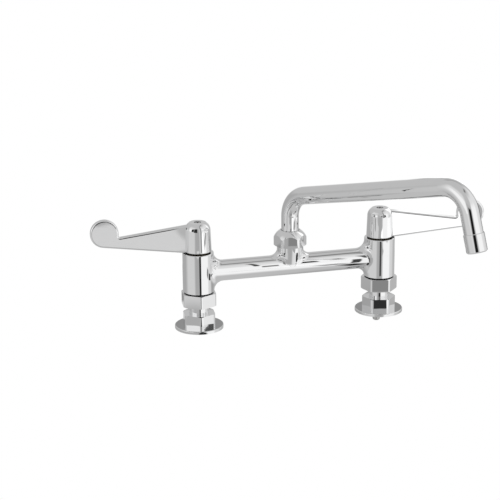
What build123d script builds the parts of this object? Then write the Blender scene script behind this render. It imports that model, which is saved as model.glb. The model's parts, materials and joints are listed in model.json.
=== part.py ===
"""Deck-mounted bridge faucet: two valve columns on flanged feet, wrist blades and a swing spout.

The frame: the deck is the plane z = 0, the origin is midway between the two inlets, +X runs along the
bridge to the right-hand valve, and the user stands on the -Y side. All sizes are in millimetres.
"""

from build123d import *
import math
import os

# ---------------------------------------------------------------------------------------------------
# Driving dimensions
# ---------------------------------------------------------------------------------------------------

# Clearances
RUNNING_FIT = 0.05  # radial, between a turning shaft and its bore
JOINT_GAP = 0.05  # between pieces screwed or pressed together
MOVING_GAP = 0.4  # between pieces that pass each other

# Inlets
INLET_CENTRES = 203.2  # 8 in between the two inlets
INLET_THREAD_R = 9.89  # half of the 19.77 mm pitch diameter of 1/2 in pipe thread
INLET_THREAD_DEPTH = 9.6
WATERWAY_R = 7.5

# Deck flange and its hexagon
FLANGE_R = 26.2
FLANGE_T = 3.2
FLANGE_EDGE = 0.9
BASE_HEX_AF = 32.6
BASE_HEX_H = 13.3
BASE_HEX_CORNER = 4.5
HEX_BEVEL = 1.1  # how far in from its corners a hexagon's end bevel starts
LEFT_HEX_TURN = 25.0
RIGHT_HEX_TURN = -13.5

# Locating pin under the right flange
PIN_R = 4.0
PIN_DROP = 5.0
PIN_SPIGOT_R = 3.0
PIN_SPIGOT_H = 2.4
PIN_ROUND = 2.2
PIN_RELIEF = 0.3  # depth and side gap of the recess in the flange round the pin
PIN_RADIUS = 19.6
PIN_ANGLE = -115.7  # from +X, so the pin stands at the front, a little to the left

# Union between flange and column
TAILPIECE_R = 10.65
TAILPIECE_SOCKET = 6.0
COLLAR_R = 12.9
COLLAR_T = 2.6
COUPLING_BASE = 25.5
COUPLING_H = 14.0
COUPLING_AF = 34.9
COUPLING_CORNER = 2.6
COUPLING_LIP = 2.6
UNION_WASHER_T = 2.0
UNION_THREAD_R = 13.2

# Valve column, bridge and spout post: one casting
COLUMN_R = 16.8
COLUMN_TOP = 84.0
COLUMN_FOOT_GAP = 0.3
COLUMN_FOOT_BEVEL = 1.3
COLUMN_TOP_BEVEL = 0.6
CHAMBER_R = 12.0
SEAT_Z = 50.0
VALVE_THREAD_R = 12.5
VALVE_THREAD_DEPTH = 11.0
BRIDGE_R = 11.3
BRIDGE_Z = 61.6
BRIDGE_BORE_R = 7.0
BRIDGE_FILLET = 10.2
POST_R = 14.3
POST_THREAD_R = 13.6
POST_SHOULDER_Z = 83.0
POST_THREAD_L = 9.0
POST_WAIST_R = 10.9
POST_TAPER_TOP = 78.0
POST_FILLET = 9.2
POST_BORE_R = 11.8
POST_BORE_DEPTH = 19.0

# Valve cartridge
BARREL_R = 9.6
BARREL_BOTTOM = 52.0
DISC_CHAMBER_R = 8.2
HEAD_FLANGE_R = 12.7
HEAD_FLANGE_T = 1.6
HEAD_HEX_AF = 20.5
HEAD_HEX_H = 4.6
GASKET_T = 1.2
GASKET_R = 13.6
NECK_R = 7.2
NECK_H = 4.5
WINDOW_W = 9.0
WINDOW_H = 6.0
SEAL_T = 4.0
SEAL_BORE_R = 4.8
DISC_T = 3.4
DISC_PORT_R = 2.3
DISC_PORT_OFFSET = 4.4
DRIVE_KEY_W = 2.6
DRIVE_KEY_H = 1.4

# Stem
STEM_R = 4.0
STEM_FLANGE_R = 7.8
STEM_FLANGE_T = 4.0
STEM_SQUARE = 5.6
STEM_TAP_R = 2.0
STEM_TAP_DEPTH = 9.0
STEM_RING_R = 0.62  # half of the O-ring's section
STEM_RING_Z = 87.0

# Handle: hub and wrist blade
HUB_BASE_R = 14.6
HUB_SIDE_R = 13.7
HUB_DOME_R = 10.0
HUB_CAP_R = 8.9  # flat round top
HUB_CAP_ROUND = 1.2
HUB_TOP = 116.8
HUB_LIFT = 1.2  # between the column's top and the hub's rim
SCREW_RECESS_R = 3.75
SCREW_RECESS_DEPTH = 4.6
HUB_WEB_T = 2.2
BLADE_T = 7.0
BLADE_EDGE = 1.9
BLADE_LIFT = 0.5  # between the column's rim and the blade's underside
BLADE_RISE = 7.1  # slope of the blade's lower edge, up towards the paddle
BLADE_FALL = 7.5  # slope of its upper edge, down towards the paddle
BLADE_ROOT_Z = 115.9  # height of the blade's upper edge, carried on to the hub's axis
BLADE_NECK_ROUND = 9.0
PADDLE_R = 15.0
PADDLE_REACH = 98.6
LEFT_BLADE_ANGLE = 175.0  # headings of the closed blades from +X: outward, the left one slightly back
RIGHT_BLADE_ANGLE = -12.0  # and the right one slightly towards the user

# Handle screw
SCREW_SHANK_R = 1.95
SCREW_SHANK_L = 8.5
SCREW_HEAD_R = 3.3
SCREW_HEAD_T = 2.4
SCREW_SLOT_AF = 2.5
SCREW_SLOT_DEPTH = 1.5

# Spout
SPOUT_TUBE_R = 9.525  # 3/4 in tube
SPOUT_WALL = 1.2
SPOUT_REACH = 254.0  # 10 in from the swivel's axis to the outlet
SPOUT_YAW = 28.7  # from straight ahead, towards the right
RISER_CORNER_Z = 137.2
RUN_RISE = 13.2
OUTLET_LEAN = 16.0
OUTLET_LEG = 65.3
FIRST_BEND_R = 27.2
SECOND_BEND_R = 27.7

# Swivel joint
SWIVEL_NUT_AF = 31.75
SWIVEL_NUT_CORNER = 4.5
SWIVEL_NUT_TURN = -14.65
SWIVEL_NUT_LIFT = 0.5  # between the post's shoulder and the nut
SWIVEL_DOME_R = 17.0
SWIVEL_DOME_RISE = 2.5  # height of the dome's centre above the nut's base
SWIVEL_DOME_IN = 2.0  # distance of the dome's centre from the axis
SWIVEL_LIP = 3.6
SLEEVE_SHOULDER_R = 13.1
SLEEVE_SHOULDER_T = 3.4
SLEEVE_TUBE_DEPTH = 16.0
SLEEVE_RING_R = 0.72  # half of the O-ring's section
SLEEVE_RING_LOW = 4.0
SLEEVE_RING_PITCH = 7.0
THRUST_WASHER_GAP = 0.1
THRUST_WASHER_T = 1.0

# Outlet
OUTLET_COLLAR_R = 10.3
OUTLET_COLLAR_L = 18.6
OUTLET_COLLAR_TOP_BEVEL = 0.5
OUTLET_COLLAR_MOUTH_BEVEL = 1.2
OUTLET_MOUTH_R = 8.7
OUTLET_TUBE_INSET = 9.6  # from the mouth to the end of the tube
STRAIGHTENER_INSET = 1.4
STRAIGHTENER_T = 5.6
STRAIGHTENER_HOLE_R = 0.85
STRAIGHTENER_PITCH = 2.6
OUTLET_WASHER_BORE_R = 6.4

# ---------------------------------------------------------------------------------------------------
# Places and heights worked out from them
# ---------------------------------------------------------------------------------------------------

VALVE_X = INLET_CENTRES / 2
LEFT = Plane(origin=(-VALVE_X, 0, 0))
RIGHT = Plane(origin=(VALVE_X, 0, 0))
MIDDLE = Plane.XY

BASE_HEX_TOP = FLANGE_T + BASE_HEX_H
SOCKET_FLOOR = BASE_HEX_TOP - TAILPIECE_SOCKET
COUPLING_TOP = COUPLING_BASE + COUPLING_H
COLLAR_BASE = COUPLING_BASE + COUPLING_LIP
COLLAR_TOP = COLLAR_BASE + COLLAR_T
UNION_FACE = COLLAR_TOP + UNION_WASHER_T
COLUMN_BASE = COUPLING_TOP + COLUMN_FOOT_GAP

GASKET_BASE = COLUMN_TOP - GASKET_T
HEAD_TOP = COLUMN_TOP + HEAD_FLANGE_T + HEAD_HEX_H
NECK_TOP = HEAD_TOP + NECK_H
FIXED_DISC_Z = SEAT_Z + SEAL_T
MOVING_DISC_Z = FIXED_DISC_Z + DISC_T + JOINT_GAP
STEM_FLANGE_Z = MOVING_DISC_Z + DISC_T
STEM_FLANGE_TOP = STEM_FLANGE_Z + STEM_FLANGE_T
DISC_CHAMBER_TOP = STEM_FLANGE_TOP + MOVING_GAP
WINDOW_Z = MOVING_DISC_Z

HUB_BASE = COLUMN_TOP + HUB_LIFT
BLADE_BASE = COLUMN_TOP + BLADE_LIFT
RECESS_FLOOR = HUB_TOP - SCREW_RECESS_DEPTH
STEM_TOP = RECESS_FLOOR - HUB_WEB_T
SQUARE_BASE = NECK_TOP
HUB_CAVITY_R = HEAD_FLANGE_R + MOVING_GAP
HUB_CAVITY_TOP = HEAD_TOP + MOVING_GAP
NECK_CAVITY_TOP = NECK_TOP + MOVING_GAP

POST_TOP = POST_SHOULDER_Z + POST_THREAD_L
POST_BORE_FLOOR = POST_TOP - POST_BORE_DEPTH
SLEEVE_BASE = POST_BORE_FLOOR + MOVING_GAP
SHOULDER_BASE = POST_TOP + MOVING_GAP
SHOULDER_TOP = SHOULDER_BASE + SLEEVE_SHOULDER_T
THRUST_WASHER_Z = SHOULDER_TOP + THRUST_WASHER_GAP
LIP_BASE = THRUST_WASHER_Z + THRUST_WASHER_T
SWIVEL_NUT_BASE = POST_SHOULDER_Z + SWIVEL_NUT_LIFT
SWIVEL_NUT_TOP = LIP_BASE + SWIVEL_LIP
TUBE_FOOT = SHOULDER_TOP - SLEEVE_TUBE_DEPTH


def section(column):
    """Upright plane through a column's axis: sketch x is the radius and sketch y the height."""
    return Plane(origin=column.origin, x_dir=(1, 0, 0), z_dir=(0, -1, 0))


def axis_of(column):
    """Vertical axis of a column."""
    return Axis(column.origin, (0, 0, 1))


def heading(degrees):
    """Level unit vector at this angle from +X."""
    angle = math.radians(degrees)
    return Vector(math.cos(angle), math.sin(angle), 0)


def upright_along(origin, direction):
    """Upright plane whose sketch x runs level along a direction and whose sketch y is the height."""
    return Plane(origin=origin, x_dir=direction, z_dir=direction.cross(Vector(0, 0, 1)))


def corner_radius(across_flats, corner):
    """Distance from the centre of a hexagon to its rounded corner."""
    sharp = across_flats / math.sqrt(3)
    return sharp - corner * (2 / math.sqrt(3) - 1)


# ---------------------------------------------------------------------------------------------------
# Feet and unions
# ---------------------------------------------------------------------------------------------------


def inlet_flange(column, turn, pinned):
    """Deck flange with a wrench hexagon, a pipe thread below and a socket for the tailpiece above."""
    hex_r = corner_radius(BASE_HEX_AF, BASE_HEX_CORNER)
    with BuildPart() as flange:
        with BuildSketch(column.offset(FLANGE_T)) as wrench_flats:
            RegularPolygon(BASE_HEX_AF / 2, 6, major_radius=False, rotation=turn)
            fillet(wrench_flats.vertices(), BASE_HEX_CORNER)
        extrude(amount=BASE_HEX_H)
        with BuildSketch(section(column)):
            with BuildLine():
                Polyline(
                    (0, 0),
                    (hex_r, 0),
                    (hex_r, BASE_HEX_TOP - HEX_BEVEL / 2),
                    (hex_r - HEX_BEVEL, BASE_HEX_TOP),
                    (0, BASE_HEX_TOP),
                    close=True,
                )
            make_face()
        revolve(axis=axis_of(column), mode=Mode.INTERSECT)
        with BuildSketch(column) as disc:
            Circle(FLANGE_R)
        rim = extrude(amount=FLANGE_T)
        fillet(rim.faces().sort_by(Axis.Z)[-1].edges(), FLANGE_EDGE)
        with BuildSketch(column):
            Circle(INLET_THREAD_R)
        extrude(amount=INLET_THREAD_DEPTH, mode=Mode.SUBTRACT)
        with BuildSketch(column):
            Circle(WATERWAY_R)
        extrude(amount=BASE_HEX_TOP, mode=Mode.SUBTRACT)
        with BuildSketch(column.offset(SOCKET_FLOOR)):
            Circle(TAILPIECE_R + JOINT_GAP)
        extrude(amount=TAILPIECE_SOCKET, mode=Mode.SUBTRACT)
        if pinned:
            with BuildSketch(pin_plane(0)):
                Circle(PIN_R + PIN_RELIEF)
            extrude(amount=PIN_RELIEF, mode=Mode.SUBTRACT)
            with BuildSketch(pin_plane(0)):
                Circle(PIN_SPIGOT_R + JOINT_GAP)
            extrude(amount=PIN_SPIGOT_H + JOINT_GAP, mode=Mode.SUBTRACT)
    return flange.part


def pin_plane(height):
    """Level plane at a height, centred on the locating pin."""
    place = RIGHT.origin + heading(PIN_ANGLE) * PIN_RADIUS
    return Plane(origin=(place.X, place.Y, height))


def locating_pin():
    """Peg that keeps the right flange from turning on the deck."""
    with BuildPart() as pin:
        with BuildSketch(pin_plane(-PIN_DROP)):
            Circle(PIN_R)
        extrude(amount=PIN_DROP)
        fillet(pin.edges().sort_by(Axis.Z)[0], PIN_ROUND)
        with BuildSketch(pin_plane(0)):
            Circle(PIN_SPIGOT_R)
        extrude(amount=PIN_SPIGOT_H)
    return pin.part


def union_tailpiece(column):
    """Short pipe from the flange's socket to the union, with the collar that the nut pulls on."""
    with BuildPart() as tailpiece:
        with BuildSketch(section(column)):
            with BuildLine():
                Polyline(
                    (WATERWAY_R, SOCKET_FLOOR + JOINT_GAP),
                    (TAILPIECE_R, SOCKET_FLOOR + JOINT_GAP),
                    (TAILPIECE_R, COLLAR_BASE),
                    (COLLAR_R, COLLAR_BASE),
                    (COLLAR_R, COLLAR_TOP),
                    (WATERWAY_R, COLLAR_TOP),
                    close=True,
                )
            make_face()
        revolve(axis=axis_of(column))
    return tailpiece.part


def union_washer(column):
    """Flat gasket between the tailpiece's collar and the column's foot."""
    with BuildPart() as washer:
        with BuildSketch(column.offset(COLLAR_TOP)):
            Circle(COLLAR_R)
            Circle(WATERWAY_R, mode=Mode.SUBTRACT)
        extrude(amount=UNION_WASHER_T)
    return washer.part


def coupling_nut(column, turn):
    """Hexagon nut that draws the tailpiece up against the column's foot."""
    hex_r = corner_radius(COUPLING_AF, COUPLING_CORNER)
    with BuildPart() as nut:
        with BuildSketch(column.offset(COUPLING_BASE)) as wrench_flats:
            RegularPolygon(COUPLING_AF / 2, 6, major_radius=False, rotation=turn)
            fillet(wrench_flats.vertices(), COUPLING_CORNER)
        extrude(amount=COUPLING_H)
        with BuildSketch(section(column)):
            with BuildLine():
                Polyline(
                    (0, COUPLING_BASE),
                    (hex_r - HEX_BEVEL, COUPLING_BASE),
                    (hex_r, COUPLING_BASE + HEX_BEVEL / 2),
                    (hex_r, COUPLING_TOP - HEX_BEVEL / 2),
                    (hex_r - HEX_BEVEL, COUPLING_TOP),
                    (0, COUPLING_TOP),
                    close=True,
                )
            make_face()
        revolve(axis=axis_of(column), mode=Mode.INTERSECT)
        with BuildSketch(column.offset(COUPLING_BASE)):
            Circle(TAILPIECE_R + JOINT_GAP)
        extrude(amount=COUPLING_LIP, mode=Mode.SUBTRACT)
        with BuildSketch(column.offset(COLLAR_BASE)):
            Circle(UNION_THREAD_R + JOINT_GAP)
        extrude(amount=COUPLING_TOP - COLLAR_BASE, mode=Mode.SUBTRACT)
    return nut.part


# ---------------------------------------------------------------------------------------------------
# Body casting
# ---------------------------------------------------------------------------------------------------


def faucet_body():
    """The casting: two valve columns, the bridge between them and the spout post in the middle."""
    with BuildPart() as body:
        with BuildSketch(Plane.YZ.offset(-VALVE_X)) as bridge:
            with Locations((0, BRIDGE_Z)):
                Circle(BRIDGE_R)
        extrude(amount=INLET_CENTRES)
        for column in (LEFT, RIGHT):
            with BuildSketch(column.offset(COLUMN_BASE)):
                Circle(COLUMN_R)
            extrude(amount=COLUMN_TOP - COLUMN_BASE)
        with BuildSketch(section(MIDDLE)):
            with BuildLine():
                Polyline(
                    (0, BRIDGE_Z),
                    (POST_WAIST_R, BRIDGE_Z),
                    (POST_R, POST_TAPER_TOP),
                    (POST_R, POST_SHOULDER_Z),
                    (0, POST_SHOULDER_Z),
                    close=True,
                )
            make_face()
        revolve(axis=Axis.Z)
        joints = body.edges().filter_by(GeomType.CIRCLE, reverse=True).filter_by(GeomType.LINE, reverse=True)
        at_columns = joints.filter_by(lambda edge: abs(edge.center().X) > INLET_CENTRES / 4)
        at_post = joints.filter_by(lambda edge: abs(edge.center().X) < INLET_CENTRES / 4)
        fillet(at_columns, BRIDGE_FILLET)
        fillet(at_post, POST_FILLET)
        column_rims = body.edges().filter_by(GeomType.CIRCLE).filter_by(
            lambda edge: abs(edge.radius - COLUMN_R) < 0.01
        )
        chamfer(column_rims.group_by(Axis.Z)[-1], COLUMN_TOP_BEVEL)
        chamfer(column_rims.group_by(Axis.Z)[0], COLUMN_FOOT_BEVEL)
        # threaded foot of each column, and threaded end of the post
        for column in (LEFT, RIGHT):
            with BuildSketch(column.offset(UNION_FACE)):
                Circle(UNION_THREAD_R)
            extrude(amount=COLUMN_BASE - UNION_FACE)
        with BuildSketch(MIDDLE.offset(POST_SHOULDER_Z)):
            Circle(POST_THREAD_R)
        extrude(amount=POST_TOP - POST_SHOULDER_Z)
        # waterways
        with BuildSketch(Plane.YZ.offset(-VALVE_X)):
            with Locations((0, BRIDGE_Z)):
                Circle(BRIDGE_BORE_R)
        extrude(amount=INLET_CENTRES, mode=Mode.SUBTRACT)
        for column in (LEFT, RIGHT):
            with BuildSketch(section(column)):
                with BuildLine():
                    Polyline(
                        (0, UNION_FACE),
                        (WATERWAY_R, UNION_FACE),
                        (WATERWAY_R, SEAT_Z),
                        (CHAMBER_R, SEAT_Z),
                        (CHAMBER_R, COLUMN_TOP - VALVE_THREAD_DEPTH),
                        (VALVE_THREAD_R, COLUMN_TOP - VALVE_THREAD_DEPTH),
                        (VALVE_THREAD_R, GASKET_BASE),
                        (GASKET_R, GASKET_BASE),
                        (GASKET_R, COLUMN_TOP),
                        (0, COLUMN_TOP),
                        close=True,
                    )
                make_face()
            revolve(axis=axis_of(column), mode=Mode.SUBTRACT)
        with BuildSketch(MIDDLE.offset(BRIDGE_Z)):
            Circle(WATERWAY_R)
        extrude(amount=POST_TOP - BRIDGE_Z, mode=Mode.SUBTRACT)
        with BuildSketch(MIDDLE.offset(POST_BORE_FLOOR)):
            Circle(POST_BORE_R)
        extrude(amount=POST_TOP - POST_BORE_FLOOR, mode=Mode.SUBTRACT)
    return body.part


# ---------------------------------------------------------------------------------------------------
# Valve cartridges
# ---------------------------------------------------------------------------------------------------


def cartridge_body(column):
    """Screwed-in valve housing: barrel with side windows, threaded head and a neck for the stem."""
    thread_r = VALVE_THREAD_R - JOINT_GAP
    thread_base = COLUMN_TOP - VALVE_THREAD_DEPTH + JOINT_GAP
    with BuildPart() as cartridge:
        with BuildSketch(section(column)):
            with BuildLine():
                Polyline(
                    (0, BARREL_BOTTOM),
                    (BARREL_R, BARREL_BOTTOM),
                    (BARREL_R, thread_base),
                    (thread_r, thread_base),
                    (thread_r, COLUMN_TOP),
                    (HEAD_FLANGE_R, COLUMN_TOP),
                    (HEAD_FLANGE_R, COLUMN_TOP + HEAD_FLANGE_T),
                    (0, COLUMN_TOP + HEAD_FLANGE_T),
                    close=True,
                )
            make_face()
        revolve(axis=axis_of(column))
        with BuildSketch(column.offset(COLUMN_TOP + HEAD_FLANGE_T)):
            RegularPolygon(HEAD_HEX_AF / 2, 6, major_radius=False)
        extrude(amount=HEAD_HEX_H)
        with BuildSketch(column.offset(HEAD_TOP)):
            Circle(NECK_R)
        extrude(amount=NECK_H)
        with BuildSketch(column.offset(BARREL_BOTTOM)):
            Circle(STEM_R + RUNNING_FIT)
        extrude(amount=NECK_TOP - BARREL_BOTTOM, mode=Mode.SUBTRACT)
        with BuildSketch(column.offset(BARREL_BOTTOM)):
            Circle(DISC_CHAMBER_R)
        extrude(amount=DISC_CHAMBER_TOP - BARREL_BOTTOM, mode=Mode.SUBTRACT)
        with BuildSketch(column.offset(WINDOW_Z)):
            Rectangle(2 * CHAMBER_R, WINDOW_W)
        extrude(amount=WINDOW_H, mode=Mode.SUBTRACT)
    return cartridge.part


def cartridge_gasket(column):
    """Flat ring under the cartridge's head."""
    with BuildPart() as gasket:
        with BuildSketch(column.offset(GASKET_BASE)):
            Circle(GASKET_R - JOINT_GAP)
            Circle(VALVE_THREAD_R, mode=Mode.SUBTRACT)
        extrude(amount=GASKET_T)
    return gasket.part


def seat_seal(column):
    """Rubber ring that presses the fixed disc's underside onto the valve seat."""
    with BuildPart() as seal:
        with BuildSketch(column.offset(SEAT_Z)):
            Circle(DISC_CHAMBER_R - JOINT_GAP)
            Circle(SEAL_BORE_R, mode=Mode.SUBTRACT)
        extrude(amount=SEAL_T)
    return seal.part


def fixed_disc(column):
    """Ceramic disc with two ports, which doesn't turn."""
    with BuildPart() as disc:
        with BuildSketch(column.offset(FIXED_DISC_Z)):
            Circle(DISC_CHAMBER_R - JOINT_GAP)
            with Locations((0, DISC_PORT_OFFSET), (0, -DISC_PORT_OFFSET)):
                Circle(DISC_PORT_R, mode=Mode.SUBTRACT)
        extrude(amount=DISC_T)
    return disc.part


def moving_disc(column):
    """Ceramic disc with two open notches, turned by the stem; closed, they stand clear of the ports."""
    disc_r = DISC_CHAMBER_R - MOVING_GAP
    with BuildPart() as disc:
        with BuildSketch(column.offset(MOVING_DISC_Z)):
            Circle(disc_r)
            with Locations((disc_r, 0), (-disc_r, 0)):
                Rectangle(2 * (disc_r - DISC_PORT_OFFSET + DISC_PORT_R), 2 * DISC_PORT_R, mode=Mode.SUBTRACT)
        extrude(amount=DISC_T)
        with BuildSketch(column.offset(STEM_FLANGE_Z - DRIVE_KEY_H)):
            Rectangle(DRIVE_KEY_W, 2 * DISC_CHAMBER_R)
        extrude(amount=DRIVE_KEY_H, mode=Mode.SUBTRACT)
    return disc.part


def stem(column):
    """Valve spindle: drive key and flange below, O-ring groove in the neck, tapped square on top."""
    groove_r = STEM_R - 2 * STEM_RING_R
    with BuildPart() as spindle:
        with BuildSketch(section(column)):
            with BuildLine():
                Polyline(
                    (0, STEM_FLANGE_Z),
                    (STEM_FLANGE_R, STEM_FLANGE_Z),
                    (STEM_FLANGE_R, STEM_FLANGE_TOP),
                    (STEM_R, STEM_FLANGE_TOP),
                    (STEM_R, STEM_RING_Z - STEM_RING_R),
                    (groove_r, STEM_RING_Z - STEM_RING_R),
                    (groove_r, STEM_RING_Z + STEM_RING_R),
                    (STEM_R, STEM_RING_Z + STEM_RING_R),
                    (STEM_R, SQUARE_BASE),
                    (0, SQUARE_BASE),
                    close=True,
                )
            make_face()
        revolve(axis=axis_of(column))
        with BuildSketch(column.offset(STEM_FLANGE_Z - DRIVE_KEY_H + JOINT_GAP)):
            Rectangle(DRIVE_KEY_W - 2 * JOINT_GAP, 2 * (DISC_PORT_OFFSET + DISC_PORT_R))
        extrude(amount=DRIVE_KEY_H)
        with BuildSketch(column.offset(SQUARE_BASE)):
            Rectangle(STEM_SQUARE, STEM_SQUARE)
        extrude(amount=STEM_TOP - SQUARE_BASE)
        with BuildSketch(column.offset(STEM_TOP - STEM_TAP_DEPTH)):
            Circle(STEM_TAP_R)
        extrude(amount=STEM_TAP_DEPTH, mode=Mode.SUBTRACT)
    return spindle.part


def stem_ring(column):
    """O-ring in the stem's groove."""
    with BuildPart() as ring:
        with BuildSketch(section(column)):
            with Locations((STEM_R - STEM_RING_R, STEM_RING_Z)):
                Circle(STEM_RING_R - JOINT_GAP)
        revolve(axis=axis_of(column))
    return ring.part


# ---------------------------------------------------------------------------------------------------
# Handles
# ---------------------------------------------------------------------------------------------------


def handle(column, angle):
    """Hub with a domed top, and a flat upright wrist blade that ends in a round paddle."""
    return lever_along_x(-angle).moved(Location(column.origin, (0, 0, angle)))


def lever_along_x(broach_turn):
    """A handle round the origin's vertical axis, with its blade along +X and its broach turned."""
    dome_in = HUB_SIDE_R - HUB_DOME_R
    dome_turn = math.acos((HUB_CAP_R - dome_in) / HUB_DOME_R)
    dome_z = HUB_TOP - HUB_DOME_R * math.sin(dome_turn)
    rise = math.radians(BLADE_RISE)
    fall = math.radians(BLADE_FALL)
    # the paddle's circle touches the lower edge and cuts the upper edge at the neck
    paddle_z = BLADE_BASE + (PADDLE_REACH - COLUMN_R) * math.tan(rise) + PADDLE_R / math.cos(rise)
    heel = (0, BLADE_BASE - COLUMN_R * math.tan(rise))
    belly = (PADDLE_REACH + PADDLE_R * math.sin(rise), paddle_z - PADDLE_R * math.cos(rise))
    crown = (PADDLE_REACH + PADDLE_R * math.sin(fall), paddle_z + PADDLE_R * math.cos(fall))
    drop = BLADE_ROOT_Z - paddle_z
    above = PADDLE_REACH * math.sin(fall) - drop * math.cos(fall)
    along = PADDLE_REACH * math.cos(fall) + drop * math.sin(fall) - math.sqrt(PADDLE_R**2 - above**2)
    neck = (along * math.cos(fall), BLADE_ROOT_Z - along * math.sin(fall))
    with BuildPart() as lever:
        with BuildSketch(section(MIDDLE)) as outline:
            with BuildLine():
                Line(heel, belly)
                ThreePointArc(belly, crown, neck)
                Line(neck, (0, BLADE_ROOT_Z))
                Line((0, BLADE_ROOT_Z), heel)
            make_face()
            fillet(outline.vertices().sort_by_distance((neck[0], 0, neck[1]))[0], BLADE_NECK_ROUND)
        extrude(amount=BLADE_T / 2, both=True)
        fillet(lever.edges().filter_by(lambda edge: edge.center().X > BLADE_T), BLADE_EDGE)
        with BuildSketch(section(MIDDLE)) as hub:
            with BuildLine():
                Line((0, HUB_BASE), (HUB_BASE_R, HUB_BASE))
                Line((HUB_BASE_R, HUB_BASE), (HUB_SIDE_R, dome_z))
                ThreePointArc(
                    (HUB_SIDE_R, dome_z),
                    (
                        dome_in + HUB_DOME_R * math.cos(dome_turn / 2),
                        dome_z + HUB_DOME_R * math.sin(dome_turn / 2),
                    ),
                    (HUB_CAP_R, HUB_TOP),
                )
                Line((HUB_CAP_R, HUB_TOP), (0, HUB_TOP))
                Line((0, HUB_TOP), (0, HUB_BASE))
            make_face()
            fillet(hub.vertices().sort_by_distance((HUB_CAP_R, 0, HUB_TOP))[0], HUB_CAP_ROUND)
        revolve(axis=Axis.Z)
        with BuildSketch(section(MIDDLE)):
            with BuildLine():
                Polyline(
                    heel,
                    (HUB_BASE_R, heel[1]),
                    (HUB_BASE_R, HUB_BASE),
                    (HUB_CAVITY_R, HUB_BASE),
                    (HUB_CAVITY_R, HUB_CAVITY_TOP),
                    (NECK_R + MOVING_GAP, HUB_CAVITY_TOP),
                    (NECK_R + MOVING_GAP, NECK_CAVITY_TOP),
                    (0, NECK_CAVITY_TOP),
                    close=True,
                )
            make_face()
        revolve(axis=Axis.Z, mode=Mode.SUBTRACT)
        with BuildSketch(MIDDLE.offset(NECK_CAVITY_TOP)):
            Rectangle(STEM_SQUARE + 2 * JOINT_GAP, STEM_SQUARE + 2 * JOINT_GAP, rotation=broach_turn)
        extrude(amount=STEM_TOP - NECK_CAVITY_TOP, mode=Mode.SUBTRACT)
        with BuildSketch(MIDDLE.offset(STEM_TOP)):
            Circle(SCREW_SHANK_R + JOINT_GAP)
        extrude(amount=HUB_WEB_T, mode=Mode.SUBTRACT)
        with BuildSketch(MIDDLE.offset(RECESS_FLOOR)):
            Circle(SCREW_RECESS_R)
        extrude(amount=SCREW_RECESS_DEPTH, mode=Mode.SUBTRACT)
    return lever.part


def handle_screw(column):
    """Socket-head screw that holds the handle on the stem."""
    head_top = RECESS_FLOOR + SCREW_HEAD_T
    with BuildPart() as screw:
        with BuildSketch(column.offset(RECESS_FLOOR - SCREW_SHANK_L)):
            Circle(SCREW_SHANK_R)
        extrude(amount=SCREW_SHANK_L)
        with BuildSketch(column.offset(RECESS_FLOOR)):
            Circle(SCREW_HEAD_R)
        extrude(amount=SCREW_HEAD_T)
        with BuildSketch(column.offset(head_top - SCREW_SLOT_DEPTH)):
            RegularPolygon(SCREW_SLOT_AF / 2, 6, major_radius=False)
        extrude(amount=SCREW_SLOT_DEPTH, mode=Mode.SUBTRACT)
    return screw.part


# ---------------------------------------------------------------------------------------------------
# Spout
# ---------------------------------------------------------------------------------------------------

SPOUT_HEADING = heading(SPOUT_YAW - 90)
SPOUT_PLANE = upright_along(Vector(0, 0, 0), SPOUT_HEADING)
RISE = math.radians(RUN_RISE)
LEAN = math.radians(OUTLET_LEAN)
RUN_LENGTH = (SPOUT_REACH - OUTLET_LEG * math.sin(LEAN)) / math.cos(RISE)
OUTLET_CORNER = (RUN_LENGTH * math.cos(RISE), RISER_CORNER_Z + RUN_LENGTH * math.sin(RISE))


def outlet_plane(inset):
    """Plane across the spout's end, this far inside its mouth, facing back up the tube."""
    leg = OUTLET_LEG - inset
    out = OUTLET_CORNER[0] + leg * math.sin(LEAN)
    height = OUTLET_CORNER[1] - leg * math.cos(LEAN)
    up_tube = SPOUT_HEADING * -math.sin(LEAN) + Vector(0, 0, math.cos(LEAN))
    return Plane(origin=SPOUT_HEADING * out + Vector(0, 0, height), z_dir=up_tube)


def spout_tube():
    """Bent tube: riser, tight first bend, rising run, second bend and down-turned end."""
    tube_leg = OUTLET_LEG - OUTLET_TUBE_INSET
    tube_end = (
        OUTLET_CORNER[0] + tube_leg * math.sin(LEAN),
        OUTLET_CORNER[1] - tube_leg * math.cos(LEAN),
    )
    with BuildPart() as tube:
        with BuildLine(SPOUT_PLANE):
            FilletPolyline(
                (0, TUBE_FOOT),
                (0, RISER_CORNER_Z),
                OUTLET_CORNER,
                tube_end,
                radius=[FIRST_BEND_R, SECOND_BEND_R],
            )
        with BuildSketch(MIDDLE.offset(TUBE_FOOT)):
            Circle(SPOUT_TUBE_R)
            Circle(SPOUT_TUBE_R - SPOUT_WALL, mode=Mode.SUBTRACT)
        sweep()
    return tube.part


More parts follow.
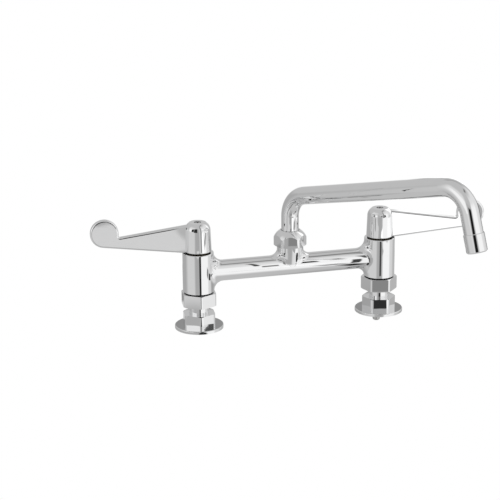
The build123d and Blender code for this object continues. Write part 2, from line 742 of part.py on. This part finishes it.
def swivel_sleeve():
    """Bush on the tube's foot: it turns in the post and its shoulder is held down by the nut."""
    sleeve_r = POST_BORE_R - RUNNING_FIT
    groove_r = sleeve_r - 2 * SLEEVE_RING_R
    with BuildPart() as sleeve:
        with BuildSketch(section(MIDDLE)):
            with BuildLine():
                Polyline(
                    (SPOUT_TUBE_R - SPOUT_WALL, SLEEVE_BASE),
                    (sleeve_r, SLEEVE_BASE),
                    (sleeve_r, SHOULDER_BASE),
                    (SLEEVE_SHOULDER_R, SHOULDER_BASE),
                    (SLEEVE_SHOULDER_R, SHOULDER_TOP),
                    (SPOUT_TUBE_R + JOINT_GAP, SHOULDER_TOP),
                    (SPOUT_TUBE_R + JOINT_GAP, TUBE_FOOT),
                    (SPOUT_TUBE_R - SPOUT_WALL, TUBE_FOOT),
                    close=True,
                )
            make_face()
            for middle in ring_heights():
                with Locations((groove_r + SLEEVE_RING_R, middle)):
                    Rectangle(2 * SLEEVE_RING_R, 2 * SLEEVE_RING_R, mode=Mode.SUBTRACT)
        revolve(axis=Axis.Z)
    return sleeve.part


def ring_heights():
    """Heights of the two O-rings on the swivel sleeve, lower one first."""
    lower = SLEEVE_BASE + SLEEVE_RING_LOW
    return [lower, lower + SLEEVE_RING_PITCH]


def swivel_ring(height):
    """O-ring on the swivel sleeve."""
    ring_r = POST_BORE_R - RUNNING_FIT - SLEEVE_RING_R
    with BuildPart() as ring:
        with BuildSketch(section(MIDDLE)):
            with Locations((ring_r, height)):
                Circle(SLEEVE_RING_R - JOINT_GAP)
        revolve(axis=Axis.Z)
    return ring.part


def thrust_washer():
    """Plastic ring that the sleeve's shoulder turns against, under the nut's lip."""
    with BuildPart() as washer:
        with BuildSketch(MIDDLE.offset(THRUST_WASHER_Z)):
            Circle(SLEEVE_SHOULDER_R)
            Circle(SPOUT_TUBE_R + MOVING_GAP, mode=Mode.SUBTRACT)
        extrude(amount=THRUST_WASHER_T)
    return washer.part


def swivel_nut():
    """Domed hexagon nut that holds the spout down on the post."""
    dome_z = SWIVEL_NUT_BASE + SWIVEL_DOME_RISE
    hex_r = corner_radius(SWIVEL_NUT_AF, SWIVEL_NUT_CORNER)
    top_r = SWIVEL_DOME_IN + math.sqrt(SWIVEL_DOME_R**2 - (SWIVEL_NUT_TOP - dome_z) ** 2)
    with BuildPart() as nut:
        with BuildSketch(MIDDLE.offset(SWIVEL_NUT_BASE)) as wrench_flats:
            RegularPolygon(SWIVEL_NUT_AF / 2, 6, major_radius=False, rotation=SWIVEL_NUT_TURN)
            fillet(wrench_flats.vertices(), SWIVEL_NUT_CORNER)
        extrude(amount=SWIVEL_NUT_TOP - SWIVEL_NUT_BASE)
        with BuildSketch(section(MIDDLE)):
            with BuildLine():
                Polyline(
                    (top_r, SWIVEL_NUT_TOP),
                    (0, SWIVEL_NUT_TOP),
                    (0, SWIVEL_NUT_BASE),
                    (hex_r - HEX_BEVEL, SWIVEL_NUT_BASE),
                    (SWIVEL_DOME_IN + SWIVEL_DOME_R, SWIVEL_NUT_BASE + HEX_BEVEL),
                    (SWIVEL_DOME_IN + SWIVEL_DOME_R, dome_z),
                )
                ThreePointArc(
                    (SWIVEL_DOME_IN + SWIVEL_DOME_R, dome_z),
                    (
                        SWIVEL_DOME_IN + SWIVEL_DOME_R * math.cos(math.radians(30)),
                        dome_z + SWIVEL_DOME_R * math.sin(math.radians(30)),
                    ),
                    (top_r, SWIVEL_NUT_TOP),
                )
            make_face()
        revolve(axis=Axis.Z, mode=Mode.INTERSECT)
        with BuildSketch(MIDDLE.offset(SWIVEL_NUT_BASE)):
            Circle(POST_THREAD_R + JOINT_GAP)
        extrude(amount=LIP_BASE - SWIVEL_NUT_BASE, mode=Mode.SUBTRACT)
        with BuildSketch(MIDDLE.offset(LIP_BASE)):
            Circle(SPOUT_TUBE_R + MOVING_GAP)
        extrude(amount=SWIVEL_LIP, mode=Mode.SUBTRACT)
    return nut.part


def outlet_collar():
    """Sleeve on the end of the spout, bored for the straightener."""
    with BuildPart() as collar:
        with BuildSketch(outlet_plane(0)):
            Circle(OUTLET_COLLAR_R)
        extrude(amount=OUTLET_COLLAR_L)
        ends = collar.edges().filter_by(GeomType.CIRCLE).sort_by(Axis.Z)
        chamfer(ends[0], OUTLET_COLLAR_MOUTH_BEVEL)
        chamfer(ends[-1], OUTLET_COLLAR_TOP_BEVEL)
        with BuildSketch(outlet_plane(0)):
            Circle(OUTLET_MOUTH_R)
        extrude(amount=OUTLET_TUBE_INSET, mode=Mode.SUBTRACT)
        with BuildSketch(outlet_plane(OUTLET_TUBE_INSET)):
            Circle(SPOUT_TUBE_R + JOINT_GAP)
        extrude(amount=OUTLET_COLLAR_L - OUTLET_TUBE_INSET, mode=Mode.SUBTRACT)
    return collar.part


def flow_straightener():
    """Perforated disc in the mouth of the spout."""
    with BuildPart() as straightener:
        with BuildSketch(outlet_plane(STRAIGHTENER_INSET)):
            Circle(OUTLET_MOUTH_R - JOINT_GAP)
            with HexLocations(STRAIGHTENER_PITCH / 2, 5, 5, major_radius=False):
                Circle(STRAIGHTENER_HOLE_R, mode=Mode.SUBTRACT)
        extrude(amount=STRAIGHTENER_T)
    return straightener.part


def outlet_washer():
    """Rubber ring between the straightener and the end of the tube."""
    base = STRAIGHTENER_INSET + STRAIGHTENER_T
    with BuildPart() as washer:
        with BuildSketch(outlet_plane(base)):
            Circle(OUTLET_MOUTH_R - JOINT_GAP)
            Circle(OUTLET_WASHER_BORE_R, mode=Mode.SUBTRACT)
        extrude(amount=OUTLET_TUBE_INSET - base)
    return washer.part


# ---------------------------------------------------------------------------------------------------
# The whole faucet
# ---------------------------------------------------------------------------------------------------


def valve_side(side, column, hex_turn, blade_angle):
    """Every piece of one valve, by name."""
    return {
        f"inlet_flange_{side}": inlet_flange(column, hex_turn, pinned=side == "right"),
        f"union_tailpiece_{side}": union_tailpiece(column),
        f"union_washer_{side}": union_washer(column),
        f"coupling_nut_{side}": coupling_nut(column, hex_turn),
        f"cartridge_body_{side}": cartridge_body(column),
        f"cartridge_gasket_{side}": cartridge_gasket(column),
        f"seat_seal_{side}": seat_seal(column),
        f"fixed_disc_{side}": fixed_disc(column),
        f"moving_disc_{side}": moving_disc(column),
        f"stem_{side}": stem(column),
        f"stem_ring_{side}": stem_ring(column),
        f"handle_{side}": handle(column, blade_angle),
        f"handle_screw_{side}": handle_screw(column),
    }


def faucet():
    """Every piece of the faucet, by name."""
    pieces = {"faucet_body": faucet_body(), "locating_pin": locating_pin()}
    pieces.update(valve_side("left", LEFT, LEFT_HEX_TURN, LEFT_BLADE_ANGLE))
    pieces.update(valve_side("right", RIGHT, RIGHT_HEX_TURN, RIGHT_BLADE_ANGLE))
    lower, upper = ring_heights()
    pieces.update(
        spout_tube=spout_tube(),
        swivel_sleeve=swivel_sleeve(),
        swivel_ring_lower=swivel_ring(lower),
        swivel_ring_upper=swivel_ring(upper),
        thrust_washer=thrust_washer(),
        swivel_nut=swivel_nut(),
        outlet_collar=outlet_collar(),
        flow_straightener=flow_straightener(),
        outlet_washer=outlet_washer(),
    )
    return pieces


os.makedirs("parts", exist_ok=True)
for name, piece in faucet().items():
    piece.label = name
    export_step(piece, f"parts/{name}.step")
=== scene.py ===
"""Looks of the bridge faucet: polished chrome in a white studio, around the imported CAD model."""

import json
import math

import bpy
from mathutils import Matrix, Vector

# The photograph's camera, in metres and degrees; azimuth is from straight ahead of the object,
# positive to the object's right-hand side as seen from there.
CAMERA_AZIMUTH = -14.6526
CAMERA_ELEVATION = 16.9815
CAMERA_ROLL = -0.4817
CAMERA_DISTANCE = 1.71072
CAMERA_TARGET = (-0.044581, 0.0, 0.081210)
CAMERA_CLIP_END = 100.0
FOCAL_PIXELS = 1599.24
IMAGE_PIXELS = 500
SENSOR_MM = 36.0

FLOOR_Z = -0.005  # under the locating peg
FLOOR_SIZE = 24.0
PAPER_WHITE = 1.0  # brightness of the floor and the background to the camera

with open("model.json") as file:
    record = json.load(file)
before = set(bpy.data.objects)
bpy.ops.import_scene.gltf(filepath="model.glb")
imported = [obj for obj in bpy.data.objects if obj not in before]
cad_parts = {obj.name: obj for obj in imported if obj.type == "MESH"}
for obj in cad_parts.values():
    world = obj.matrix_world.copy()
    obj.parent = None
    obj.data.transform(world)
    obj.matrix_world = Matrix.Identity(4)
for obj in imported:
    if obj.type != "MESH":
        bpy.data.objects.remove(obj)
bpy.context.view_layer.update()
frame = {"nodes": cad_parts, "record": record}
nodes = frame["nodes"]


# -------------------------------------------------------------------------------------------------
# Node graphs
# -------------------------------------------------------------------------------------------------

# the mix node's sockets, which have the same names for numbers and for colours
MIX_FACTOR = 0
MIX_NUMBER_A, MIX_NUMBER_B, MIX_NUMBER_OUT = 2, 3, 0
MIX_COLOUR_A, MIX_COLOUR_B, MIX_COLOUR_OUT = 6, 7, 2


class Graph:
    """Short calls for building a node tree."""

    def __init__(self, tree):
        self.tree = tree
        self.tree.nodes.clear()

    def add(self, kind, inputs=None, **settings):
        node = self.tree.nodes.new(kind)
        for key, value in settings.items():
            setattr(node, key, value)
        for key, value in (inputs or {}).items():
            self.put(node.inputs[key], value)
        return node

    def put(self, socket, value):
        """Links a node or a socket to this socket, or sets it to a plain value."""
        if isinstance(value, bpy.types.NodeSocket):
            self.tree.links.new(value, socket)
        elif isinstance(value, bpy.types.Node):
            self.tree.links.new(value.outputs[0], socket)
        else:
            socket.default_value = value

    def math(self, operation, a, b=0.0, c=0.0):
        return self.add("ShaderNodeMath", {0: a, 1: b, 2: c}, operation=operation).outputs[0]

    def times(self, a, b):
        return self.math("MULTIPLY", a, b)

    def ramp(self, value, low, high):
        """0 below low, 1 above high, smooth between; low above high turns it round."""
        node = self.add(
            "ShaderNodeMapRange",
            {"Value": value, "From Min": low, "From Max": high},
            interpolation_type="SMOOTHSTEP",
            clamp=True,
        )
        return node.outputs[0]

    def mix(self, factor, a, b):
        """A number between a and b."""
        node = self.add("ShaderNodeMix", data_type="FLOAT", clamp_factor=True)
        self.put(node.inputs[MIX_FACTOR], factor)
        self.put(node.inputs[MIX_NUMBER_A], a)
        self.put(node.inputs[MIX_NUMBER_B], b)
        return node.outputs[MIX_NUMBER_OUT]

    def blend(self, factor, a, b):
        """A colour between a and b, which are plain colours or sockets."""
        node = self.add("ShaderNodeMix", data_type="RGBA", clamp_factor=True)
        self.put(node.inputs[MIX_FACTOR], factor)
        for index, colour in ((MIX_COLOUR_A, a), (MIX_COLOUR_B, b)):
            self.put(node.inputs[index], (*colour, 1) if isinstance(colour, tuple) else colour)
        return node.outputs[MIX_COLOUR_OUT]


# -------------------------------------------------------------------------------------------------
# Studio
# -------------------------------------------------------------------------------------------------

# Soft patches of the studio, painted over the grey of its walls in this order. Azimuth is in
# degrees from the camera's side, positive to the right; elevation is above the horizon, and below
# it are the patches' paler images in the glossy table. Each pair is followed by the softness of
# its two edges; the last number is the patch's brightness.
WALL_SHADE = 0.57
STUDIO = [
    # name, azimuth from, to, softness, elevation from, to, softness, brightness
    ("back wall, left", -175, -96, 20, -30, 14, 16, 0.45),
    ("back wall, right", 112, 150, 20, -30, 14, 16, 0.52),
    ("back wall, high", 140, 215, 20, 46, 58, 8, 0.40),
    ("back wall, middle", 158, 200, 20, -26, 12, 14, 0.78),
    ("left softbox", -86, -24, 20, -4, 46, 24, 0.80),
    ("left softbox core", -76, -26, 16, -3, 26, 10, 1.02),
    ("left softbox in the table", -84, -20, 20, -42, -2, 10, 0.70),
    ("right softbox", 28, 132, 14, -4, 54, 24, 0.84),
    ("right softbox in the table", 20, 112, 30, -46, -2, 14, 0.76),
    ("right softbox core", 22, 78, 12, -36, 30, 18, 1.04),
    ("gap over the right softbox", 36, 100, 14, 66, 73, 5, 0.22),
    ("front of the table", -22, 18, 16, -50, -1, 12, 0.44),
    ("front, above the table", -24, 16, 10, 1, 26, 10, 0.50),
]
HALF_TURN = 180.0

# Upright cards round the object, dark or light, seen only in its reflections. Across and away are
# the card's middle in metres from the object, as the camera sees it, and bottom and top its
# heights. Soft is the share of the card that fades out towards its edges, across and along.
FLAGS = [
    # name, across, away, width, bottom, top, soft across, along, brightness
    ("flag_collar", 0.166, -0.252, 0.040, 0.108, 0.200, 0.35, 0.25, 0.01),
    ("flag_left_blade", -0.130, -0.140, 0.066, 0.093, 0.190, 0.05, 0.05, 0.03),
    ("flag_left_paddle", -0.205, -0.140, 0.080, 0.103, 0.190, 0.05, 0.05, 0.03),
    ("flag_right_blade", 0.200, -0.095, 0.105, 0.092, 0.172, 0.08, 0.05, 0.10),
    ("flag_left_column", -0.082, -0.090, 0.019, -0.004, 0.070, 0.5, 0.04, 0.02),
    ("flag_right_column", 0.1025, -0.039, 0.017, 0.028, 0.070, 0.5, 0.04, 0.06),
    ("flag_left_hub", -0.068, -0.082, 0.022, 0.073, 0.220, 0.6, 0.05, 0.30),
    ("flag_right_hub", 0.130, -0.030, 0.022, 0.104, 0.220, 0.6, 0.05, 0.30),
    ("flag_nut", 0.010, -0.072, 0.024, 0.069, 0.086, 0.2, 0.1, 0.26),
    ("flag_riser", -0.004, -0.075, 0.011, 0.088, 0.160, 0.6, 0.1, 0.08),
    ("flag_behind_left", -0.104, 0.060, 0.110, -0.004, 0.045, 0.3, 0.2, 0.30),
    ("flag_behind_right", 0.100, 0.112, 0.110, -0.004, 0.045, 0.3, 0.2, 0.30),
    ("card_behind_right", 0.210, 0.100, 0.170, 0.118, 0.330, 0.1, 0.1, 1.25),
]

# Cards lying on the table, seen only in reflections: from a near point to a far one, as the camera
# sees them, with the width at either end. A later card lies over an earlier one. The cards darker
# than the studio round them are painted shadows of the object on the table.
TABLE_CARDS = [
    # name, near across, away, width, far across, away, width, soft across, along, brightness
    # painted shadows on the table round the two feet
    ("shade_left", -0.120, 0.040, 0.12, -0.150, -0.150, 0.14, 0.8, 0.6, 0.46),
    ("shade_right", 0.080, 0.120, 0.22, 0.060, -0.020, 0.24, 0.8, 0.8, 0.40),
    ("card_far_right", 0.530, 0.200, 0.26, 0.520, -0.200, 0.26, 0.3, 0.3, 1.15),
    ("card_left", -0.082, -0.310, 0.15, -0.082, -0.470, 0.16, 0.15, 0.15, 0.72),
    ("card_right", 0.215, -0.260, 0.13, 0.225, -0.450, 0.14, 0.2, 0.2, 1.25),
    # painted shade on the table in front, seen in the hubs
    ("hub_shade_left", 0.075, -0.330, 0.050, 0.200, -0.200, 0.080, 0.5, 0.3, 0.42),
    ("hub_shade_right", 0.255, -0.300, 0.060, 0.410, -0.110, 0.100, 0.5, 0.3, 0.40),
    # painted contact shadows on the table in front of the feet and the right nut
    ("front_of_left_foot", -0.095, -0.045, 0.020, -0.082, -0.090, 0.022, 0.5, 0.1, 0.04),
    ("front_of_right_nut", 0.110, -0.075, 0.040, 0.113, -0.125, 0.042, 0.2, 0.2, 0.27),
    ("front_of_right_foot", 0.104, -0.012, 0.028, 0.106, -0.062, 0.032, 0.25, 0.2, 0.03),
]
CARD_HEIGHT = 0.001  # of the lowest table card over the table
CARD_STEP_HEIGHT = 0.0002  # from one table card to the next
CARD_STEPS = 12  # quads along a table card


def studio_light():
    """The world: the studio's patches to the chrome, and plain white to the camera."""
    world = bpy.data.worlds.new("studio")
    bpy.context.scene.world = world
    world.use_nodes = True
    g = Graph(world.node_tree)
    direction = g.add("ShaderNodeTexCoord").outputs["Generated"]
    x, y, z = g.add("ShaderNodeSeparateXYZ", {0: direction}).outputs[:3]
    azimuth = g.math("DEGREES", g.math("ARCTAN2", x, g.times(y, -1.0)))
    azimuth = g.math("SUBTRACT", azimuth, CAMERA_AZIMUTH)
    azimuth = g.math("WRAP", azimuth, HALF_TURN, -HALF_TURN)
    elevation = g.math("DEGREES", g.math("ARCSINE", z))
    shade = WALL_SHADE
    for _name, left, right, az_soft, low, high, el_soft, brightness in STUDIO:
        edge = az_soft / 2
        inside = g.ramp(azimuth, left - edge, left + edge)
        if right < HALF_TURN - edge:
            inside = g.times(inside, g.ramp(azimuth, right + edge, right - edge))
        else:  # the patch goes on past the half turn, where azimuth starts again from below
            right -= 2 * HALF_TURN
            inside = g.math("MAXIMUM", inside, g.ramp(azimuth, right + edge, right - edge))
        edge = el_soft / 2
        inside = g.times(inside, g.ramp(elevation, low - edge, low + edge))
        inside = g.times(inside, g.ramp(elevation, high + edge, high - edge))
        shade = g.mix(inside, shade, brightness)
    seen = g.add("ShaderNodeLightPath").outputs["Is Camera Ray"]
    background = g.add("ShaderNodeBackground", {"Strength": g.mix(seen, shade, PAPER_WHITE)})
    background.inputs["Color"].default_value = (1, 1, 1, 1)
    g.add("ShaderNodeOutputWorld", {"Surface": background})


def camera():
    """The photograph's camera, without shift or depth of field."""
    angles = (CAMERA_AZIMUTH, CAMERA_ELEVATION, CAMERA_ROLL)
    azimuth, elevation, roll = (math.radians(angle) for angle in angles)
    ahead = Vector((math.sin(azimuth), -math.cos(azimuth), 0))
    back = ahead * math.cos(elevation) + Vector((0, 0, math.sin(elevation)))
    level = (-back).cross(Vector((0, 0, 1))).normalized()
    upright = level.cross(-back)
    right = level * math.cos(roll) + upright * math.sin(roll)
    up = upright * math.cos(roll) - level * math.sin(roll)
    turn = Matrix((right, up, back)).transposed().to_4x4()
    data = bpy.data.cameras.new("camera")
    data.sensor_width = SENSOR_MM
    data.lens = SENSOR_MM * FOCAL_PIXELS / IMAGE_PIXELS
    data.clip_end = CAMERA_CLIP_END
    shot = bpy.data.objects.new("camera", data)
    bpy.context.scene.collection.objects.link(shot)
    place = Vector(CAMERA_TARGET) + back * CAMERA_DISTANCE
    shot.matrix_world = Matrix.Translation(place) @ turn
    bpy.context.scene.camera = shot


def sheet(name, corners, faces, material_name, hidden_from):
    """A thin piece of the studio, hidden from some kinds of ray, and its material's graph."""
    mesh = bpy.data.meshes.new(name)
    mesh.from_pydata(corners, [], faces)
    piece = bpy.data.objects.new(name, mesh)
    bpy.context.scene.collection.objects.link(piece)
    material = bpy.data.materials.new(material_name)
    material.use_nodes = True
    mesh.materials.append(material)
    for ray in hidden_from:
        setattr(piece, f"visible_{ray}", False)
    return piece, Graph(material.node_tree)


def floor():
    """A white floor that only the camera sees; reflections look through it at the studio."""
    half = FLOOR_SIZE / 2
    corners = [(x * half, y * half, FLOOR_Z) for x, y in ((-1, -1), (1, -1), (1, 1), (-1, 1))]
    hidden_from = ("glossy", "diffuse", "shadow")
    plane, g = sheet("floor", corners, [(0, 1, 2, 3)], "studio floor", hidden_from)
    shine = g.add("ShaderNodeEmission", {"Strength": PAPER_WHITE})
    g.add("ShaderNodeOutputMaterial", {"Surface": shine})


def across_and_away(across, away):
    """The world's x and y of a place given as the camera sees it."""
    turn = math.radians(CAMERA_AZIMUTH)
    return (
        across * math.cos(turn) - away * math.sin(turn),
        across * math.sin(turn) + away * math.cos(turn),
    )


def card(name, rows, soft, brightness):
    """A strip of quads seen only in reflections; rows are pairs of left and right corners."""
    steps = len(rows) - 1
    corners = [corner for row in rows for corner in row]
    faces = [(2 * n, 2 * n + 1, 2 * n + 3, 2 * n + 2) for n in range(steps)]
    hidden_from = ("camera", "diffuse", "shadow", "transmission")
    piece, g = sheet(name, corners, faces, name, hidden_from)
    uv = piece.data.uv_layers.new(name="card")
    for loop in piece.data.loops:
        row, side = divmod(loop.vertex_index, 2)
        uv.data[loop.index].uv = (side, row / steps)
    place = g.add("ShaderNodeSeparateXYZ", {0: g.add("ShaderNodeUVMap", uv_map="card")})
    cover = 1.0
    for axis, fade in enumerate(soft):
        off_middle = g.math("ABSOLUTE", g.math("SUBTRACT", place.outputs[axis], 0.5))
        cover = g.times(cover, g.ramp(g.times(off_middle, 2.0), 1.0, 1.0 - fade))
    clear = g.add("ShaderNodeBsdfTransparent")
    shine = g.add("ShaderNodeEmission", {"Strength": brightness})
    mixed = g.add("ShaderNodeMixShader", {0: cover, 1: clear, 2: shine})
    g.add("ShaderNodeOutputMaterial", {"Surface": mixed})


def flag(name, across, away, width, bottom, top, soft_across, soft_along, brightness):
    """An upright card, square to the camera's heading."""
    ends = [across_and_away(across + side * width / 2, away) for side in (-1, 1)]
    rows = [[(*end, z) for end in ends] for z in (bottom, top)]
    card(name, rows, (soft_across, soft_along), brightness)


def table_card(layer, name, near, far, soft, brightness):
    """A card that lies on the table; near and far are its ends' across, away and width."""
    z = FLOOR_Z + CARD_HEIGHT + layer * CARD_STEP_HEIGHT
    rows = []
    for step in range(CARD_STEPS + 1):
        across, away, width = (a + (b - a) * step / CARD_STEPS for a, b in zip(near, far))
        rows.append([(*across_and_away(across + side * width / 2, away), z) for side in (-1, 1)])
    card(name, rows, soft, brightness)


# -------------------------------------------------------------------------------------------------
# Finishes
# -------------------------------------------------------------------------------------------------

# Sizes, reaches and depths are metres on the object; colours are linear.
SEAM_SAMPLES = 8

CHROME_COOL = (0.842, 0.845, 0.85)
CHROME_PLAIN = (0.872, 0.872, 0.872)
# painted shade: the colour the plating is darkened to in seams and tight corners
CHROME_PAINTED_SHADE = (0.05, 0.05, 0.05)
CHROME_ROUGHNESS = 0.012  # of the cleanest plating
CHROME_FILM = 0.022  # roughness that the thin film of use adds at most
CHROME_HAIRS = 0.014  # roughness that the hair marks add at most

BRASS_DULL = (0.50, 0.36, 0.16)
BRASS_BRIGHT = (0.74, 0.58, 0.30)
# painted shade: the colour the brass is darkened to in seams and tight corners
BRASS_PAINTED_SHADE = (0.012, 0.011, 0.010)

STEEL_DARK = (0.46, 0.46, 0.45)
STEEL_LIGHT = (0.64, 0.64, 0.63)

RUBBER_CLEAN = (0.014, 0.014, 0.014)
RUBBER_DUSTY = (0.055, 0.054, 0.052)

CERAMIC_WARM = (0.80, 0.78, 0.73)
CERAMIC_WHITE = (0.90, 0.89, 0.86)

PLASTIC_GREY = (0.72, 0.72, 0.70)
PLASTIC_WHITE = (0.84, 0.84, 0.82)


def finish(name, metallic):
    """A material with its graph, its shader, and a place in metres on the piece for its detail."""
    material = bpy.data.materials.new(name)
    material.use_nodes = True
    g = Graph(material.node_tree)
    surface = g.add("ShaderNodeBsdfPrincipled")
    surface.inputs["Metallic"].default_value = metallic
    g.add("ShaderNodeOutputMaterial", {"Surface": surface})
    return material, g, surface, g.add("ShaderNodeTexCoord").outputs["Object"]


def noise(g, place, size, detail=2.0, roughness=0.5):
    """Soft noise, about 0.5 in the middle, whose features are about size across."""
    node = g.add(
        "ShaderNodeTexNoise",
        {"Vector": place, "Scale": 1.0 / size, "Detail": detail, "Roughness": roughness},
        noise_dimensions="3D",
    )
    return node.outputs[0]


def stretched(g, place, scale):
    """The place with its axes scaled; noise is drawn out along an axis whose scale is below 1."""
    return g.add("ShaderNodeMapping", {"Vector": place, "Scale": scale}).outputs[0]


def bump(g, surface, layers):
    """Stacks bumps; each layer is a height from 0 to 1 and its real depth."""
    normal = None
    for height, depth in layers:
        node = g.add("ShaderNodeBump", {"Height": height, "Strength": 1.0, "Distance": depth})
        if normal is not None:
            g.put(node.inputs["Normal"], normal)
        normal = node.outputs[0]
    g.put(surface.inputs["Normal"], normal)


def seam_shadow(g, reach, low, high):
    """The mask of painted shade: 0 in the seams between pieces and other tight corners, 1 in the
    open.
    """
    corner = g.add(
        "ShaderNodeAmbientOcclusion",
        {"Distance": reach},
        samples=SEAM_SAMPLES,
        only_local=False,
    )
    return g.ramp(corner.outputs["AO"], low, high)


def dress(g, surface, colour, roughness):
    """Gives the shader its colour and roughness."""
    g.put(surface.inputs["Base Color"], colour)
    g.put(surface.inputs["Roughness"], roughness)


def chrome():
    """Bright plating: nearly a mirror, with slow waves and hair marks of the polishing wheel, and
    painted shade in its seams and tight corners.
    """
    material, g, surface, place = finish("polished chrome", metallic=1.0)
    cloud = noise(g, place, size=0.012)
    hairs = noise(g, stretched(g, place, (1.0, 1.0, 0.05)), size=0.0006, detail=3.0, roughness=0.6)
    film = noise(g, place, size=0.0025, detail=4.0, roughness=0.6)
    waves = noise(g, place, size=0.016, detail=1.0)
    # painted shade: darkens the plating in seams and tight corners, where shade falls
    outside_painted_shade = seam_shadow(g, reach=0.0022, low=0.12, high=0.5)
    plating = g.blend(cloud, CHROME_COOL, CHROME_PLAIN)
    marks = g.math("ADD", g.times(film, CHROME_FILM), g.times(hairs, CHROME_HAIRS))
    rough = g.math("ADD", marks, CHROME_ROUGHNESS)
    dress(g, surface, g.blend(outside_painted_shade, CHROME_PAINTED_SHADE, plating), rough)
    bump(g, surface, ((waves, 0.00004), (hairs, 0.0000006)))
    return material


def brass():
    """Turned brass: fine rings from the lathe, with painted shade darkening it where it sits in a
    seam.
    """
    material, g, surface, place = finish("machined brass", metallic=1.0)
    rings = noise(g, stretched(g, place, (0.02, 0.02, 1.0)), size=0.00025, detail=3.0)
    patina = noise(g, place, size=0.005, detail=4.0, roughness=0.6)
    # painted shade: darkens the brass in seams and tight corners, where shade falls
    outside_painted_shade = seam_shadow(g, reach=0.006, low=0.35, high=0.9)
    metal = g.blend(g.ramp(patina, 0.3, 0.7), BRASS_DULL, BRASS_BRIGHT)
    dress(g, surface, g.blend(outside_painted_shade, BRASS_PAINTED_SHADE, metal), g.mix(patina, 0.22, 0.5))
    bump(g, surface, ((rings, 0.00001), (patina, 0.00002)))
    return material


def steel():
    """Stainless steel: grey, with fine turning marks."""
    material, g, surface, place = finish("machined steel", metallic=1.0)
    rings = noise(g, stretched(g, place, (0.03, 0.03, 1.0)), size=0.0003, detail=3.0)
    cloud = noise(g, place, size=0.004, detail=3.0)
    dress(g, surface, g.blend(cloud, STEEL_DARK, STEEL_LIGHT), g.mix(rings, 0.18, 0.42))
    bump(g, surface, ((rings, 0.000012),))
    return material


def rubber():
    """Black seal rubber with a moulded, slightly dusty skin."""
    material, g, surface, place = finish("seal rubber", metallic=0.0)
    grain = noise(g, place, size=0.0005, detail=3.0, roughness=0.6)
    dust = noise(g, place, size=0.004, detail=4.0, roughness=0.6)
    skin = g.blend(g.ramp(dust, 0.35, 0.75), RUBBER_CLEAN, RUBBER_DUSTY)
    dress(g, surface, skin, g.mix(grain, 0.5, 0.8))
    bump(g, surface, ((grain, 0.00003),))
    return material


def ceramic():
    """Lapped ceramic: warm white, with a fine grain under a smooth face."""
    material, g, surface, place = finish("valve ceramic", metallic=0.0)
    grain = noise(g, place, size=0.0003, detail=4.0, roughness=0.6)
    cloud = noise(g, place, size=0.006)
    dress(g, surface, g.blend(cloud, CERAMIC_WARM, CERAMIC_WHITE), g.mix(grain, 0.12, 0.3))
    bump(g, surface, ((grain, 0.000008),))
    return material


def plastic():
    """Moulded white plastic with a fine matt texture."""
    material, g, surface, place = finish("washer plastic", metallic=0.0)
    grain = noise(g, place, size=0.0004, detail=3.0, roughness=0.6)
    cloud = noise(g, place, size=0.008)
    dress(g, surface, g.blend(cloud, PLASTIC_GREY, PLASTIC_WHITE), g.mix(grain, 0.38, 0.6))
    bump(g, surface, ((grain, 0.00002),))
    return material


FINISHES = {
    "polished_chrome": chrome(),
    "plain_brass": brass(),
    "stainless_steel": steel(),
    "seal_rubber": rubber(),
    "valve_ceramic": ceramic(),
    "washer_plastic": plastic(),
}

for part in frame["record"]["subparts"]:
    mesh = nodes[part["node"]].data
    mesh.materials.clear()
    mesh.materials.append(FINISHES[part["material_slot"]])

studio_light()
camera()
floor()
for row in FLAGS:
    flag(*row)
for layer, row in enumerate(TABLE_CARDS):
    table_card(layer, row[0], row[1:4], row[4:7], row[7:9], row[9])
bpy.context.scene.view_settings.view_transform = "Standard"
